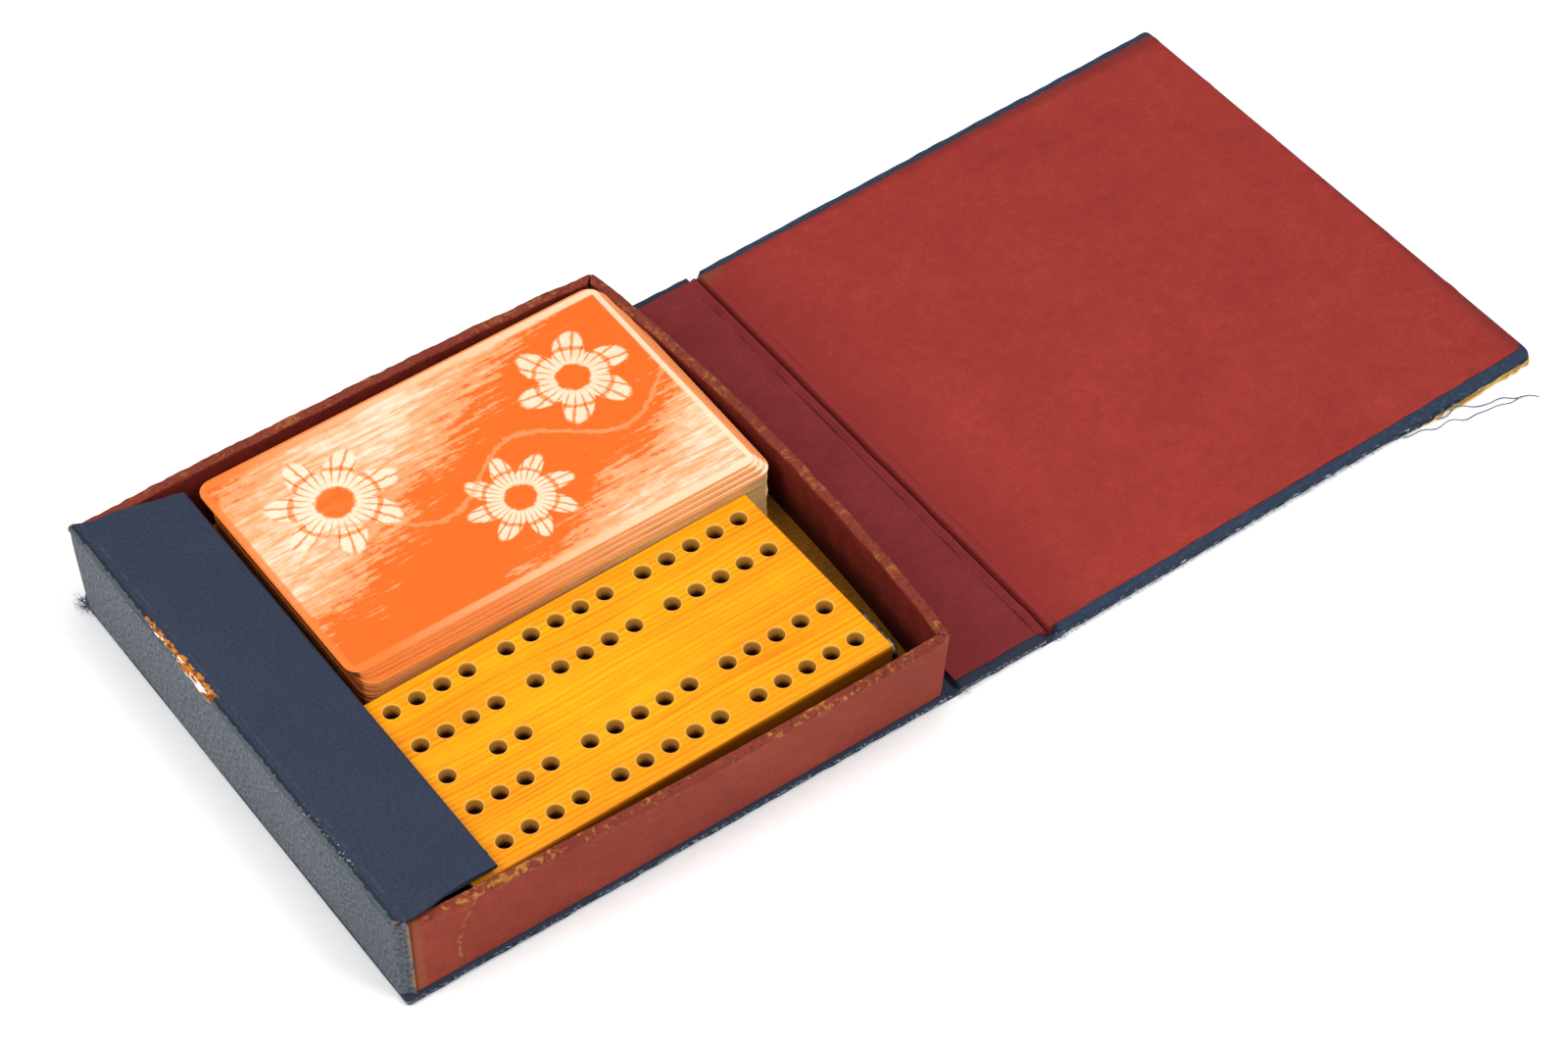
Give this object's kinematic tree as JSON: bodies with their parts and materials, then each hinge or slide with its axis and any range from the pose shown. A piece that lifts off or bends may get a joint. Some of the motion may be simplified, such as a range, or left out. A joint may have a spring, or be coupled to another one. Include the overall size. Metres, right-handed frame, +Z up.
{
  "type": "cribbage box",
  "caption": "Book-style cloth case with a folding cover and flap around a shallow tray, holding a drilled wooden cribbage board and a deck of cards.",
  "frame": {"origin": "bottom centre of the open case's bounding box", "axes": "+Z up; +X along the open case from the tray to the cover; +Y from the near side, with the cribbage board, to the far side, with the cards"},
  "size_m": [0.2588, 0.1156, 0.0222],
  "materials": {
    "bookcloth": "navy bookcloth, worn and speckled",
    "tray_paper": "maroon covering paper, rubbed brown at the edges",
    "lining_paper": "maroon lining paper, mottled",
    "strawboard": "bare strawboard",
    "varnished_wood": "varnished light wood, fine grain",
    "steel": "dulled steel",
    "card_stock": "smooth card, cream with an orange printed back"
  },
  "bodies": {
    "tray": {"base_board": "strawboard", "base_cloth": "bookcloth", "fore_edge_board": "strawboard", "fore_edge_cloth": "bookcloth", "tray_floor": "strawboard", "tray_near_wall": "strawboard", "tray_far_wall": "strawboard", "tray_left_wall": "strawboard", "tray_right_wall": "strawboard", "tray_paper": "tray_paper", "spine_joint_cloth": "bookcloth", "flap_joint_cloth": "bookcloth"},
    "spine": {"spine_board": "strawboard", "spine_cloth": "bookcloth", "spine_lining": "lining_paper", "cover_joint_cloth": "bookcloth"},
    "cover": {"cover_board": "strawboard", "cover_cloth": "bookcloth", "cover_lining": "lining_paper"},
    "flap": {"flap_board": "strawboard", "flap_cloth": "bookcloth", "flap_lining": "lining_paper"},
    "board": {"cribbage_board": "varnished_wood", "peg_plate_screw": "steel"},
    "plate": {"peg_plate": "steel"},
    "deck": {"card_stack": "card_stock", "loose_card_1": "card_stock", "loose_card_2": "card_stock", "loose_card_3": "card_stock", "loose_card_4": "card_stock", "loose_card_5": "card_stock", "loose_card_6": "card_stock"}
  },
  "joints": [
    {"name": "spine_hinge", "type": "hinge", "parent": "tray", "child": "spine", "pos_m": [-0.01013, 0, 0.00025], "axis": [0, 1, 0], "range_deg": [-90, 0], "deforming": ["spine_joint_cloth"]},
    {"name": "cover_hinge", "type": "hinge", "parent": "spine", "child": "cover", "pos_m": [0.01203, 0, 0.00025], "axis": [0, 1, 0], "range_deg": [-88.95, 0], "deforming": ["cover_joint_cloth"]},
    {"name": "board_lift", "type": "slide", "parent": "tray", "child": "board", "axis": [0, 0, 1], "range_m": [0, 0.025]},
    {"name": "flap_hinge", "type": "hinge", "parent": "tray", "child": "flap", "pos_m": [-0.12693, 0, 0.022], "axis": [0, -1, 0], "range_deg": [0, 93], "deforming": ["flap_joint_cloth"]},
    {"name": "deck_lift", "type": "slide", "parent": "tray", "child": "deck", "axis": [0, 0, 1], "range_m": [0, 0.02]},
    {"name": "plate_swivel", "type": "hinge", "parent": "board", "child": "plate", "pos_m": [-0.02134, -0.04967, 0.0128], "axis": [0.9999, 0.0161, 0], "range_deg": [0, 90]}
  ],
  "couplings": [
    {"joint": "flap_hinge", "follows": "board_lift", "rad_per_m": 64.577}
  ]
}
